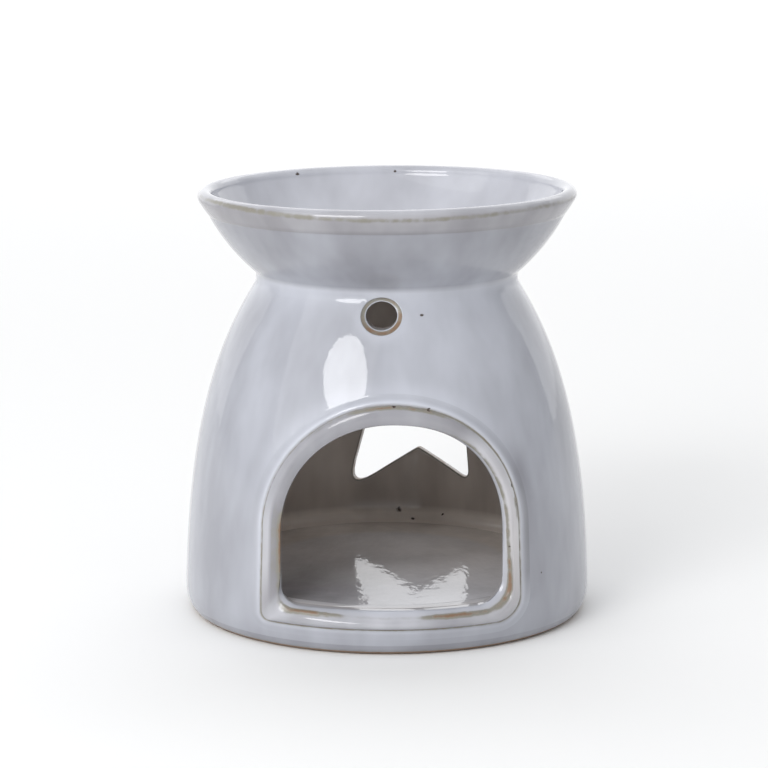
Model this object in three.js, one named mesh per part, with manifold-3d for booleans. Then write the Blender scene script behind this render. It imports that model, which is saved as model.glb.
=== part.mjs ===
// A stoneware wax warmer: a glazed bell on a base plate, with an arched doorway for a tealight,
// a vent under the neck, a star cut through the back and a flared melting dish on top.
// Millimetres, Z up, the doorway faces -Y and the origin is the middle of the foot.
import * as THREE from "three";
import { mergeVertices } from "three/addons/utils/BufferGeometryUtils.js";
import { ParametricGeometry } from "three/addons/geometries/ParametricGeometry.js";
import Module from "manifold-3d";

// Walls and fits
const WALL = 4.5; // cast wall of the bell
const FIT_GAP = 0.3; // clearance between pieces that slide together

// Base plate
const FOOT_RADIUS = 48.6; // where the foot meets the table
const FOOT_EDGE = 2.6; // height of the edge that the bell stands on
const FOOT_RING = 8; // width of the ring that touches the table
const FOOT_RECESS = 5; // hollow under the floor
const RECESS_TAPER = 2; // how far the hollow narrows towards its top
const FLOOR_HEIGHT = 10.7; // chamber floor above the table

// Bell
const BELLY_RADIUS = 51.8; // widest point
const BELLY_HEIGHT = 6; // where the rounded foot becomes the side
const BELL_LEAN = 1; // how far the side leans in below the shoulder
const SIDE_PULL = 0.652; // share of the rise over which the side stays upright
const SHOULDER_PULL = 0.121; // share of the rise over which the shoulder stays straight
const SHOULDER_SLOPE = 0.584; // radius lost for each millimetre of rise under the neck
const NECK_RADIUS = 33.2; // narrowest point
const NECK_HEIGHT = 86; // seat of the dish
const NECK_LAND = 1.6; // short upright band under the seat
const COVE = 4.2; // fillet between wall and floor
const COVE_SEAT = 0.8; // rebate round the floor that the toe of the cove sits in

// Melting dish
const RIM_HEIGHT = 108; // top of the lip
const RIM_RADIUS = 47.8; // outside of the lip
const LIP_RADIUS = 1.9; // roll of the lip
const RIM_BAND = 4.6; // thickened band, measured down from the top
const RIM_BAND_STEP = 0.35; // how far the band stands out
const RIM_BAND_DRAFT = 1.15; // how far the flare lies inside the rim at the band
const NECK_FILLET = 1.5; // hollow where the dish grows out of the neck
const DISH_SWELL = 0.85; // how far the flare bows out of a straight cone
const DISH_FLOOR = 4.2; // thickness under the wax
const BOWL_FLOOR_RADIUS = 24; // flat of the bowl
const BOWL_FLOOR_PULL = 0.45; // share of the bowl's width over which it stays level
const BOWL_SIDE_LEAN = 0.17; // share of the bowl's width that the upper side leans in
const BOWL_SIDE_PULL = 0.5; // share of the bowl's depth over which it leans
const REGISTER_DEPTH = 1.2; // spigot that centres the dish in the neck

// Doorway and its raised surround
const DOOR_WIDTH = 53.4;
const DOOR_SILL = 11.4;
const DOOR_CROWN = 55.6;
const DOOR_CORNERS = [4.5, 6.5]; // radii of the lower corners, left and right
const DOOR_SHOULDER = 0.61; // how square the arch is; 0.55 is a half circle
const DOOR_TURN = 1.2; // degrees to the right of the front
const SURROUND_WIDTH = 4.8; // opening to ridge
const SURROUND_CORNERS = [2, 6]; // lower corners of the ridge, left and right
const SURROUND_RAMP = 2.4; // ridge to toe
const RIDGE_PROUD = 1.5; // ridge above the wall
const RIDGE_ROUND = 0.5; // width of the rounded crest
const FACE_ROUND = 0.9; // rounded edge between face and reveal
const TOE_THICKNESS = 0.25;
const LINING = 1.6; // thickness of the reveal

// Vent
const VENT_DROP = 5.3; // centre below the seat of the dish
const VENT_BORE = 7.6;
const VENT_MOUTH = 10; // countersunk outer edge
const VENT_MOUTH_DEPTH = 1.6;
const VENT_TURN = -2.3; // degrees to the right of the front
const VENT_TILT = 6; // degrees above level, outwards

// Star
const STAR_POINTS = 5;
const STAR_HEIGHT = 43.1; // centre
const STAR_REACH = 28.3; // centre to a point before rounding
const STAR_NOTCH = 13.6; // centre to an inner corner
const STAR_ROUNDS = [6.2, 6.2, 9, 3.2, 6.2]; // lengths taken off each side of the points
const STAR_TURN = 8.1; // degrees to the right of the back, seen from the front
const STAR_TILT = 3; // degrees anticlockwise, seen from the front
// How far the knife strayed from a true star, across and up, at the points and notches in turn
const STAR_STRAYS = [
  [0, 0], [0, 0], [0, 0], [0.6, -0.2], [-2.9, -2.1], [1.3, 1.2], [-1.6, -0.1], [1.8, 0.2], [0, 0], [0, 0],
];

// Facets
const ROUND_STEPS = 64;
const BELL_STEPS = 11;
const EDGE_STEPS = 3;
const LIP_STEPS = 8;
const FLARE_STEPS = 5;
const BOWL_STEPS = 7;
const SIDE_STEPS = 3;
const SILL_STEPS = 14;
const CORNER_STEPS = 3;
const ARCH_STEPS = 26;
const POINT_STEPS = 3;
const MERGE = 1e-4; // vertices closer than this are one
const HALVINGS = 40; // steps of the search along a curve

const GLAZE = { color: 0xc9ced6, roughness: 0.12, metalness: 0 };
const SURROUND_GLAZE = { color: 0xcfcfd6, roughness: 0.12, metalness: 0 };
const BARE_FOOT = { color: 0x9a8672, roughness: 0.6, metalness: 0 };

const wasm = await Module();
wasm.setup();
const { degToRad } = THREE.MathUtils;
const at = (radius, height) => new THREE.Vector2(radius, height);

// A closed geometry as a solid that can be cut.
function solidOf(geometry) {
  geometry.deleteAttribute("normal");
  geometry.deleteAttribute("uv");
  const merged = mergeVertices(geometry, MERGE);
  const corners = merged.index.array;
  const kept = [];
  for (let i = 0; i < corners.length; i += 3) {
    const [a, b, c] = corners.slice(i, i + 3);
    if (a !== b && b !== c && c !== a) kept.push(a, b, c);
  }
  const vertProperties = merged.attributes.position.array;
  const triVerts = new Uint32Array(kept);
  return new wasm.Manifold(new wasm.Mesh({ numProp: 3, vertProperties, triVerts }));
}

function meshOf(name, solid, look) {
  const { vertProperties, triVerts } = solid.getMesh();
  const geometry = new THREE.BufferGeometry();
  geometry.setAttribute("position", new THREE.BufferAttribute(vertProperties, 3));
  geometry.setIndex(new THREE.BufferAttribute(triVerts, 1));
  geometry.computeVertexNormals();
  const mesh = new THREE.Mesh(geometry, new THREE.MeshStandardMaterial(look));
  mesh.name = name;
  return mesh;
}

// A profile of radius and height turned about Z.
function turned(profile) {
  return new THREE.LatheGeometry(profile, ROUND_STEPS).rotateX(Math.PI / 2);
}

// Sizes that several pieces share
const wallBore = BELLY_RADIUS - WALL;
const neckBore = NECK_RADIUS - WALL;
const neckFoot = NECK_HEIGHT - NECK_LAND;
const cutLength = BELLY_RADIUS + WALL;
const coveToe = wallBore - COVE;
const seatHeight = FLOOR_HEIGHT - COVE_SEAT;
const ventHeight = NECK_HEIGHT - VENT_DROP;
const footCurve = new THREE.EllipseCurve(
  FOOT_RADIUS,
  BELLY_HEIGHT,
  BELLY_RADIUS - FOOT_RADIUS,
  BELLY_HEIGHT,
  -Math.PI / 2,
  0,
);
const rise = neckFoot - BELLY_HEIGHT;
const bellCurve = new THREE.CubicBezierCurve(
  at(BELLY_RADIUS, BELLY_HEIGHT),
  at(BELLY_RADIUS - BELL_LEAN, BELLY_HEIGHT + SIDE_PULL * rise),
  at(NECK_RADIUS + SHOULDER_SLOPE * SHOULDER_PULL * rise, neckFoot - SHOULDER_PULL * rise),
  at(NECK_RADIUS, neckFoot),
);

// Where a curve that rises all the way passes a height, as its parameter.
function parameterAt(curve, height) {
  let low = 0;
  let high = 1;
  for (let halving = 0; halving < HALVINGS; halving += 1) {
    const middle = (low + high) / 2;
    if (curve.getPoint(middle).y < height) low = middle;
    else high = middle;
  }
  return low;
}

function outerRadius(height) {
  const curve = height < BELLY_HEIGHT ? footCurve : bellCurve;
  return curve.getPoint(parameterAt(curve, height)).x;
}

// The part of a curve between two parameters, as points.
function stretch(curve, from, to, steps) {
  const step = (to - from) / steps;
  return Array.from({ length: steps + 1 }, (_, i) => curve.getPoint(from + i * step));
}

// The wall's inside, parallel to the bell.
const innerCurve = {
  getPoint(parameter) {
    const across = bellCurve.getTangent(parameter).rotateAround(at(0, 0), Math.PI / 2);
    return bellCurve.getPoint(parameter).addScaledVector(across, WALL);
  },
};

function basePlate() {
  const plug = wallBore - FIT_GAP;
  const edge = stretch(footCurve, 0, parameterAt(footCurve, FOOT_EDGE), EDGE_STEPS);
  const ringInside = FOOT_RADIUS - FOOT_RING;
  return turned([
    at(0, FOOT_RECESS),
    at(ringInside - RECESS_TAPER, FOOT_RECESS),
    at(ringInside, 0),
    ...edge,
    at(plug, FOOT_EDGE),
    at(plug, seatHeight),
    at(coveToe - FIT_GAP, seatHeight),
    at(coveToe - FIT_GAP, FLOOR_HEIGHT),
    at(0, FLOOR_HEIGHT),
  ]);
}

function bellWall() {
  const coveTop = FLOOR_HEIGHT + COVE;
  const coveCurve = new THREE.EllipseCurve(coveToe, coveTop, COVE, COVE, 0, -Math.PI / 2, true);
  const inside = stretch(innerCurve, 1, parameterAt(innerCurve, coveTop), BELL_STEPS);
  const profile = [
    at(wallBore, FOOT_EDGE),
    ...stretch(footCurve, parameterAt(footCurve, FOOT_EDGE), 1, EDGE_STEPS),
    ...stretch(bellCurve, 0, 1, BELL_STEPS).slice(1),
    at(NECK_RADIUS, NECK_HEIGHT),
    at(neckBore, NECK_HEIGHT),
    at(neckBore, neckFoot),
    ...inside,
    ...stretch(coveCurve, 0, 1, EDGE_STEPS).slice(1),
    at(coveToe, seatHeight),
    at(wallBore, seatHeight),
    at(wallBore, FOOT_EDGE),
  ];
  return turned(profile);
}

// The doorway's outline, widened by an offset: a flat sill, rounded corners, upright sides and an
// arch. Every offset has the same number of points, so rings of them can be joined.
function doorOutline(offset, [left, right]) {
  const half = DOOR_WIDTH / 2 + offset;
  const sill = DOOR_SILL - offset;
  const spring = DOOR_CROWN - DOOR_WIDTH / 2;
  const path = new THREE.Path();
  const crown = spring + half;
  const pull = DOOR_SHOULDER * half;
  path.absarc(half - right, sill + right, right, -Math.PI / 2, 0);
  path.lineTo(half, spring);
  path.bezierCurveTo(half, spring + pull, pull, crown, 0, crown);
  path.bezierCurveTo(-pull, crown, -half, spring + pull, -half, spring);
  path.lineTo(-half, sill + left);
  path.absarc(left - half, sill + left, left, Math.PI, 1.5 * Math.PI);
  path.lineTo(half - right, sill);
  const arch = [ARCH_STEPS / 2, ARCH_STEPS / 2];
  const steps = [CORNER_STEPS, SIDE_STEPS, ...arch, SIDE_STEPS, CORNER_STEPS, SILL_STEPS];
  return path.curves.flatMap((curve, i) => stretch(curve, 0, 1, steps[i]).slice(0, -1));
}

// A prism of an outline drawn as seen from the front, from the axis forward to past the wall.
function prism(outline) {
  const shape = new THREE.Shape(outline);
  return new THREE.ExtrudeGeometry(shape, { depth: cutLength, bevelEnabled: false }).rotateX(Math.PI / 2);
}

function doorCut() {
  return prism(doorOutline(LINING + FIT_GAP, DOOR_CORNERS)).rotateZ(degToRad(DOOR_TURN));
}

// The raised surround: a moulding that runs round the doorway, bent to the wall.
function doorSurround() {
  const toe = SURROUND_WIDTH + SURROUND_RAMP;
  const ridgeIn = SURROUND_WIDTH - RIDGE_ROUND;
  const section = [
    [toe, FIT_GAP, SURROUND_CORNERS],
    [toe, FIT_GAP + TOE_THICKNESS, SURROUND_CORNERS],
    [SURROUND_WIDTH + SURROUND_RAMP / 2, FIT_GAP + RIDGE_PROUD / 3, SURROUND_CORNERS],
    [SURROUND_WIDTH, RIDGE_PROUD, SURROUND_CORNERS],
    [ridgeIn, RIDGE_PROUD, SURROUND_CORNERS],
    [(ridgeIn + FACE_ROUND) / 2, RIDGE_PROUD - FACE_ROUND / 4, DOOR_CORNERS],
    [FACE_ROUND, RIDGE_PROUD - FACE_ROUND, DOOR_CORNERS],
    [FACE_ROUND / 2, 0, DOOR_CORNERS],
    [0, -WALL, DOOR_CORNERS],
    [LINING, -WALL, DOOR_CORNERS],
    [LINING, FIT_GAP, DOOR_CORNERS],
    [ridgeIn, FIT_GAP, SURROUND_CORNERS],
  ];
  const rings = section.map(([offset, , corner]) => doorOutline(offset, corner));
  const places = rings[0].length;
  const bent = (along, around, target) => {
    const part = Math.round(around * section.length) % section.length;
    const { x, y } = rings[part][Math.round(along * places) % places];
    const radius = outerRadius(y) + section[part][1];
    target.set(x, -Math.sqrt(radius ** 2 - x ** 2), y);
  };
  return new ParametricGeometry(bent, places, section.length).rotateZ(degToRad(DOOR_TURN));
}

// The vent's bore with its countersunk mouth, along its own axis from inside to outside.
function ventCut() {
  const reach = 2 * WALL;
  const profile = [
    at(0, -reach),
    at(VENT_BORE / 2, -reach),
    at(VENT_BORE / 2, -VENT_MOUTH_DEPTH),
    at(VENT_MOUTH / 2, 0),
    at(VENT_MOUTH / 2, reach),
    at(0, reach),
  ];
  return new THREE.LatheGeometry(profile, ROUND_STEPS / 2)
    .rotateX(Math.PI - degToRad(VENT_TILT))
    .translate(0, -outerRadius(ventHeight), ventHeight)
    .rotateZ(degToRad(VENT_TURN));
}

// A hand-cut star with rounded points.
function starOutline() {
  const corner = (index) => {
    const radius = index % 2 ? STAR_NOTCH : STAR_REACH;
    const angle = Math.PI / 2 + (index * Math.PI) / STAR_POINTS + degToRad(STAR_TILT);
    const [across, up] = STAR_STRAYS.at(index);
    return at(radius * Math.cos(angle) + across, STAR_HEIGHT + radius * Math.sin(angle) + up);
  };
  const towards = (from, to, length) => to.clone().sub(from).setLength(length).add(from);
  return STAR_ROUNDS.flatMap((length, i) => {
    const tip = corner(2 * i);
    const notch = corner(2 * i + 1);
    const before = towards(tip, corner(2 * i - 1), length);
    const round = new THREE.QuadraticBezierCurve(before, tip, towards(tip, notch, length));
    return [...stretch(round, 0, 1, POINT_STEPS), notch];
  });
}

function starCut() {
  return prism(starOutline()).translate(0, cutLength, 0).rotateZ(degToRad(-STAR_TURN));
}

function meltingDish() {
  const register = neckBore - FIT_GAP;
  const bandFoot = RIM_HEIGHT - RIM_BAND;
  const bandRadius = RIM_RADIUS - RIM_BAND_DRAFT;
  const lipCentre = at(RIM_RADIUS - LIP_RADIUS, RIM_HEIGHT - LIP_RADIUS);
  const fillet = new THREE.QuadraticBezierCurve(
    at(NECK_RADIUS, NECK_HEIGHT),
    at(NECK_RADIUS, NECK_HEIGHT + NECK_FILLET / 2),
    at(NECK_RADIUS + NECK_FILLET / 2, NECK_HEIGHT + NECK_FILLET),
  );
  const flareFoot = fillet.v2;
  const flareTop = at(bandRadius - RIM_BAND_STEP, bandFoot);
  const along = flareTop.clone().sub(flareFoot);
  const swell = at(along.y, -along.x).setLength(2 * DISH_SWELL);
  const flare = new THREE.QuadraticBezierCurve(
    flareFoot,
    flareFoot.clone().addScaledVector(along, 1 / 2).add(swell),
    flareTop,
  );
  const lip = new THREE.EllipseCurve(lipCentre.x, lipCentre.y, LIP_RADIUS, LIP_RADIUS, 0, Math.PI);
  const bowlFloor = NECK_HEIGHT + DISH_FLOOR;
  const bowlTop = at(lipCentre.x - LIP_RADIUS, lipCentre.y);
  const bowlWidth = bowlTop.x - BOWL_FLOOR_RADIUS;
  const bowlDepth = bowlTop.y - bowlFloor;
  const bowl = new THREE.CubicBezierCurve(
    bowlTop,
    at(bowlTop.x - BOWL_SIDE_LEAN * bowlWidth, bowlTop.y - BOWL_SIDE_PULL * bowlDepth),
    at(BOWL_FLOOR_RADIUS + BOWL_FLOOR_PULL * bowlWidth, bowlFloor),
    at(BOWL_FLOOR_RADIUS, bowlFloor),
  );
  return turned([
    at(0, NECK_HEIGHT - REGISTER_DEPTH),
    at(register, NECK_HEIGHT - REGISTER_DEPTH),
    at(register, NECK_HEIGHT),
    ...stretch(fillet, 0, 1, EDGE_STEPS),
    ...stretch(flare, 0, 1, FLARE_STEPS).slice(1),
    at(bandRadius, bandFoot + RIM_BAND_STEP),
    ...stretch(lip, 0, 1, LIP_STEPS),
    ...stretch(bowl, 0, 1, BOWL_STEPS).slice(1),
    at(0, bowlFloor),
  ]);
}

const bell = [doorCut(), ventCut(), starCut()].reduce(
  (solid, cut) => solid.subtract(solidOf(cut)),
  solidOf(bellWall()),
);

const warmer = new THREE.Group();
warmer.add(
  meshOf("base_plate", solidOf(basePlate()), BARE_FOOT),
  meshOf("bell_body", bell, GLAZE),
  meshOf("door_surround", solidOf(doorSurround()), SURROUND_GLAZE),
  meshOf("melting_dish", solidOf(meltingDish()), GLAZE),
);

export default warmer;
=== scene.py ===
"""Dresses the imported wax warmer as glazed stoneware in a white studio.

Lengths are metres in the frame of the part: Z up, the doorway faces -Y, the table at zero.
Angles round the warmer start at the front and grow towards +X.
"""
import math

import bmesh
import bpy
import numpy as np
from bpy.props import FloatProperty, FloatVectorProperty, PointerProperty
from bpy.types import Operator, Panel, PropertyGroup
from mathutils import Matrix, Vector
from mathutils.geometry import delaunay_2d_cdt


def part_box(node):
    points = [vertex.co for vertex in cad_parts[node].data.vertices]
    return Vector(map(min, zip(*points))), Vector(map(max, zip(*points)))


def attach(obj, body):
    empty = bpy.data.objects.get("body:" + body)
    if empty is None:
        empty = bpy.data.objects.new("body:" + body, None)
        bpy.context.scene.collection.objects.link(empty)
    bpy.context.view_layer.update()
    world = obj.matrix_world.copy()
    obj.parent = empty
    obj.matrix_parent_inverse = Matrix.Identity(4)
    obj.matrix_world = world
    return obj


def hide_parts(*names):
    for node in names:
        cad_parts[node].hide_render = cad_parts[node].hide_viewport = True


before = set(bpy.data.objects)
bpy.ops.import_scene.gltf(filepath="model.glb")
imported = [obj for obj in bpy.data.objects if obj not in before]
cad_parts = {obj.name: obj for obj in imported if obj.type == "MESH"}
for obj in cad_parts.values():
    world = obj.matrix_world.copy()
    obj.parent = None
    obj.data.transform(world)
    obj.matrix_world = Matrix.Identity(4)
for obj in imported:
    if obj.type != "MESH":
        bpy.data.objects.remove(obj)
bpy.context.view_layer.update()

bl_info = {
    "name": "Wax warmer",
    "version": (1, 0, 0),
    "blender": (4, 5, 0),
    "location": "View3D > Sidebar > Wax warmer",
    "description": "Builds a glazed stoneware wax warmer round its packed solids",
    "category": "Add Mesh",
}

_, plate_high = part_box("base_plate")
bell_low, bell_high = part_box("bell_body")
_, dish_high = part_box("melting_dish")


def mm(millimetres):
    """Millimetres in metres."""
    return millimetres * 0.001


# Fineness of the meshes: lines round the pot, rows up its walls, points along its curves
COLUMNS = 224
WALL_ROWS = 66
INNER_ROWS = 40
CURVE_POINTS = 120
EDGE_ROWS = 7
REVEAL_ROWS = 5
CORNER_POINTS = 16
ARCH_POINTS = 60
SILL_POINTS = 52
VENT_POINTS = 72
STAR_OUTLINE_POINTS = 260
FLARE_POINTS = 40
LIP_POINTS = 30
BAND_POINTS = 8
STEP_POINTS = 6
SEAM = -math.pi / 2
WELD = 1e-6
SHARP = math.radians(40)

# How a cut-out finds its edge in a wall: the stretch of the cut that is searched and how often
# it is halved. Shares of a grid step then keep the grid clear of the wall's ends and the edge
CUT_REACH = (-mm(30), mm(80))
HALVINGS = 44
END_MARGIN = 0.4
EDGE_MARGIN = 0.6

# Out of round and level: turns round the pot, waves per metre of height, start, share
HAND_WAVES = ((2, 21.0, 0.4, 0.5), (3, -38.0, 1.9, 0.3), (5, 55.0, 4.0, 0.2))

# The surround was finished by hand. Places along it are shares of the doorway's outline from
# the right end of the sill, anticlockwise. Where the glaze ran thin, and in the groove where
# shade is painted: centre, half width, strength
RIDGE_BREAKS = ((0.37, 0.05, 1.0), (0.30, 0.05, 0.25), (0.45, 0.06, 0.25), (0.155, 0.012, 0.6))
EDGE_BREAKS = ((0.65, 0.04, 1.0), (0.06, 0.035, 0.9), (0.765, 0.035, 0.75), (0.97, 0.035, 0.8),
               (0.15, 0.08, 0.4), (0.24, 0.04, 0.3))
PAINTED_GROOVE_SHADE = ((0.87, 0.14, 1.0), (0.08, 0.06, 0.5), (0.22, 0.09, 0.8), (0.68, 0.06, 0.5))
SLOPE_BREAKS = ((0.635, 0.05, 1.1), (0.56, 0.04, 0.4), (0.1, 0.06, 0.4))

# Half widths from its centre at which a break has faded out
BREAK_FADE = 1.6

# How thin the glaze is along each line of the surround: all along, and more at its breaks.
# Along the groove the olive and brown are painted shade, darkest along the sill
THIN_LINES = {"groove_shade": (0.42, 0.48, PAINTED_GROOVE_SHADE), "ridge": (0.1, 0.75, RIDGE_BREAKS),
              "edge": (0.25, 0.9, EDGE_BREAKS)}

# How thin and how clear it ran at the breaks of the slope between ridge and opening
SLOPE_THIN, SLOPE_CLEAR = 0.28, 0.8

# How far the bank outside it was smoothed down: place, share. Then how much milkier the glaze
# pooled on the high and the low bank
BANK_SHARES = ((0, 0.95), (0.05, 0.5), (0.13, 0), (0.62, 0), (0.7, 0.5), (0.75, 0.95), (0.87, 1),
               (1, 0.95))
HIGH_BANK_MILK, LOW_BANK_MILK = 0.85, 0.25

# How far its inner edge was flared: place, share of a millimetre
EDGE_FLARES = ((0, 1.0), (0.046, 1.5), (0.075, 1.7), (0.118, 1.1), (0.25, 0.75), (0.31, 0.3),
               (0.37, 0.05), (0.62, 0.05), (0.69, 0.15), (0.72, 0.7), (0.76, 0.5), (0.87, 1.4),
               (1, 1.0))

# Where the glaze ran thin round the rim: centre and half width in degrees from the front,
# strength. Then how thin it is all round, and how much thinner at these breaks
RIM_BREAKS = ((-46, 18, 1.0), (-25, 5, 0.7), (12, 26, 0.55), (60, 12, 0.4), (150, 25, 0.7),
              (-130, 20, 0.6))
RIM_THIN, RIM_THINNER = 0.32, 0.3

# Where this thin line runs on the roll of the lip: degrees from the front, degrees up the roll.
# Then its half width in degrees, and how far from the roll's centre it ends, in radii
RIM_LINE = ((-90, 30), (-60, 35), (-43, 22), (-28, 4), (-10, -12), (10, -15), (33, 0), (52, 12),
            (90, 12))
RIM_LINE_HALF = 26
RIM_LINE_END = 1.2

# Where the glaze ran thin round the vent, given in the same way
VENT_BREAKS = ((-60, 80, 1.0), (20, 40, 0.5))
VENT_THIN, VENT_THINNER = 0.6, 0.4

# From the vent's mouth in to its bore: share of the widening, share of the depth, how thin the
# glaze ran and how milky it pooled. The milkiest rows, at the mouth's outer edge and at the
# bore's edge, are milky glaze and also painted highlights along those rounded edges
VENT_SECTION = (
    (1, 0, 0.2, 0.42), (0.93, 0, 0.1, 1.3), (0.86, 0.05, 0.15, 1.3), (0.78, 0.2, 0.9, 0.42),
    (0.6, 0.42, 1, 0.3), (0.4, 0.58, 1, 0.3), (0.22, 0.68, 0.85, 0.42), (0.12, 0.72, 0.1, 1.4),
    (0.04, 0.8, 0, 1.4), (0, 1, 0.5, 0.42))

# Where the bell's glaze pooled or ran clear, with painted light and shade as the light falls:
# lighter high up, painted shade on the right low down and round the foot. Degrees from the
# front, millimetres up, half widths in both, strength
BELL_POOLS_AND_PAINTED_LIGHT = ((16, 70, 20, 14, 0.3), (42, 64, 18, 20, 0.3), (42, 16, 26, 16, -0.32),
              (0, 0, 400, 6, -0.1), (-50, 52, 14, 16, 0.2), (75, 40, 16, 30, -0.12))

# The surround's face: place, how milky it is and how far the warm clay shows through. Its
# milkiness also paints light and shade round the doorway, with a painted glint at the lower
# left corner
FACE_TONES_AND_PAINTED_LIGHT = ((0, 0.5, 0.2), (0.03, 0.6, 0.25), (0.07, 0.8, 0.4), (0.12, 1.1, 0.4),
              (0.17, 0.95, 0.3), (0.215, 0.8, 0.25), (0.245, 1.1, 0.2), (0.285, 0.15, 0.2),
              (0.37, 0.15, 0.15), (0.48, 0.12, 0.15), (0.56, 0.4, 0.15), (0.62, 0.7, 0.15),
              (0.66, 0.65, 0.2), (0.7, 0.1, 0.2), (0.735, 0.75, 0.15), (0.76, 0.3, 0.15),
              (0.87, 0.7, 0.15), (0.95, 0.4, 0.15), (1, 0.5, 0.2))

# How milky the chamber's glaze is, with painted light on the cove, which faces the doorway:
# millimetres up, milkiness
CHAMBER_MILK_AND_PAINTED_LIGHT = ((10.7, 1.5), (11.5, 1.35), (13.0, 1.3), (14.6, 0.45), (18, 0.45), (28, 0.62),
                (40, 0.7), (58, 0.14), (90, 0.0))

# The paler glaze inside the sill: reach from its edge, share by millimetres up, milkiness, and
# how far it hides the chamber's wash
SILL_REACH = mm(3)
SILL_SHARE = ((16, 1), (22, 0))
SILL_MILK, SILL_COVER = 0.9, 0.8

# How much milkier the bell's glaze pooled, and how far that reaches: under the neck, round the
# vent and beside the surround. Under the neck and over the arch it also paints light, and on the
# right of the surround it drops to painted shade. Beside the surround it depends on the
# millimetres up and to the right, and is slight at the sill
NECK_MILK_AND_PAINTED_LIGHT, NECK_REACH = 0.45, mm(4.5)
VENT_MILK, VENT_REACH = 0.35, mm(2)
HALO_REACH = mm(2.8)
HALO_UP_AND_PAINTED_LIGHT = ((30, 0.15), (50, 0.4))
HALO_RIGHT_PAINTED_SHADE = ((24, 0), (32, -0.85))
HALO_LOW = ((10, 1), (18, 0))
HALO_SILL = 0.05

# The foot: how milky its glaze is, and how thin at the table, at the edge of the wiped band and
# at twice its height. The brown that fades above the bare band is painted contact shade
FOOT_MILK = 0.02
FOOT_THIN_AND_PAINTED_SHADE = (1, 0.35, 0)

# The chamber floor: how milky it is, and its share of the wash by millimetres to the back
FLOOR_MILK = 1.25
FLOOR_WASH = ((-30, 0.2), (10, 0.5))

# A painted reflection of the cove on the floor before the back wall, warmer and darker: its
# share by millimetres in from the cove and to the back, the wash that it adds and the milk that
# it takes
COVE_REFLECTION_IN = ((10, 1), (13, 0))
COVE_REFLECTION_BACK = ((0, 0), (10, 1))
COVE_REFLECTION_WASH, COVE_REFLECTION_CLEAR = 0.4, 0.25

# Painted shade on the chamber floor near the sill, where the doorway's left side shades it: its
# middle and half widths in millimetres across and to the back, and the milk that it takes
PAINTED_SHADE_SPOT = (-21, -34, 15, 18)
PAINTED_SHADE_CLEAR = 1.2

# The dish's glaze on its fillet, flare, step, band, lip, bowl and flat: how milky it pooled and
# how far the warm clay shows through, each as places along that stretch and levels. The milk
# also paints light on the upturned fillet, lip and bowl, and painted shade on the flare and
# the step, which face down
DISH_TONES_AND_PAINTED_LIGHT = (
    (((0, 0.87), (1, 0.3)), ((0, 0),)),
    (((0, 0.35), (0.15, 0.2), (1, 0.15)), ((0, 0),)),
    (((0, 0.05), (1, 0)), ((0, 0.22),)),
    (((0, 0.15),), ((0, 0.22),)),
    (((0, 0.25), (0.5, 0.9), (1, 1.1)), ((0, 0.22), (0.4, 0.1))),
    (((0, 1.1),), ((0, 0.1),)),
    (((0, 1.1),), ((0, 0.1),)))

# The star was cut by hand: millimetres taken off each side of its points, and how far the
# knife strayed across and up at its points and notches in turn. Then how far its lower reveals
# rise towards the chamber, how far below its centre they do so in full, and how thin its glaze
# is on the cut, whose brown also paints the shade on the reveal
STAR_ROUNDS = (6.2, 6.2, 9.0, 3.2, 6.2)
STAR_STRAYS = ((0, 0), (0, 0), (0, 0), (0.6, -0.2), (-2.1, -1.1), (1.3, 1.3), (-1.6, 1.0),
               (1.8, 0.2), (0, 0), (0, 0))
STAR_SLANT, STAR_SLANT_DROP = mm(0.45), mm(5)
STAR_THIN_AND_PAINTED_SHADE = 0.9

# Points of the surround's section: the bank out of the ridge's line, the crease and crest in
# from it, the edge out of the opening, the reveal below the wall and the rounding at its back.
# Shares are of the bank's height and the ridge's
BANK_OUT = mm(0.45)
CREASE_IN, CREASE_SHARE = mm(0.25), 0.7
CREST_IN = mm(1.5)
EDGE_OUT, EDGE_SHARE = mm(0.45), 0.35
REVEAL_DEPTH = mm(1.2)
BACK_OUT, BACK_ROUND, BACK_END = mm(0.1), mm(0.4), mm(0.8)

# How deep the surround's back lies in the rebate, at its lining and at its toe
SEAT_DEPTH, TOE_DEPTH = mm(0.5), mm(0.4)

# How much milkier the glaze pooled in its reveal
REVEAL_MILK = 0.43

# The rebate in the wall under the surround, and the doorway's clearance over the floor
REBATE = mm(0.7)
FLOOR_CLEARANCE = mm(0.4)

# The ridge's splay is full this far below the spring of the arch, and this far from its sides
SPLAY_DROP, SPLAY_EDGE = mm(15), mm(2)

# How far below the roll of the lip the rim's band turns upright
BAND_TURN = mm(0.6)

# Iron that burned through the glaze: place and radius in millimetres
IRON_SPOTS = ((8.4, -34.3, 80.9, 0.5), (3.3, 46.9, 13.4, 0.85), (7.2, 44.6, 11.0, 0.7),
              (15.3, 43.9, 12.5, 0.5), (30.4, -39.8, 39.8, 0.6), (29.6, -42.5, 25.1, 0.5),
              (1.6, -45.3, 60.6, 0.45), (10.0, -44.5, 59.5, 0.45), (-23.6, 37.2, 106.7, 0.5),
              (2.1, 44.0, 106.7, 0.45))

# Marks of the glaze where nothing else is said: how thin it ran over an edge, how far it is the
# chamber's thin wash, how milky it pooled and how far it was brushed
MARKS = {"thin": 0.0, "inside": 0.0, "milk": 0.42, "brushed": 0.2}

# Milkiness of the clearest and the milkiest glaze
CLEAREST, MILKIEST = -0.4, 1.4

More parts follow.
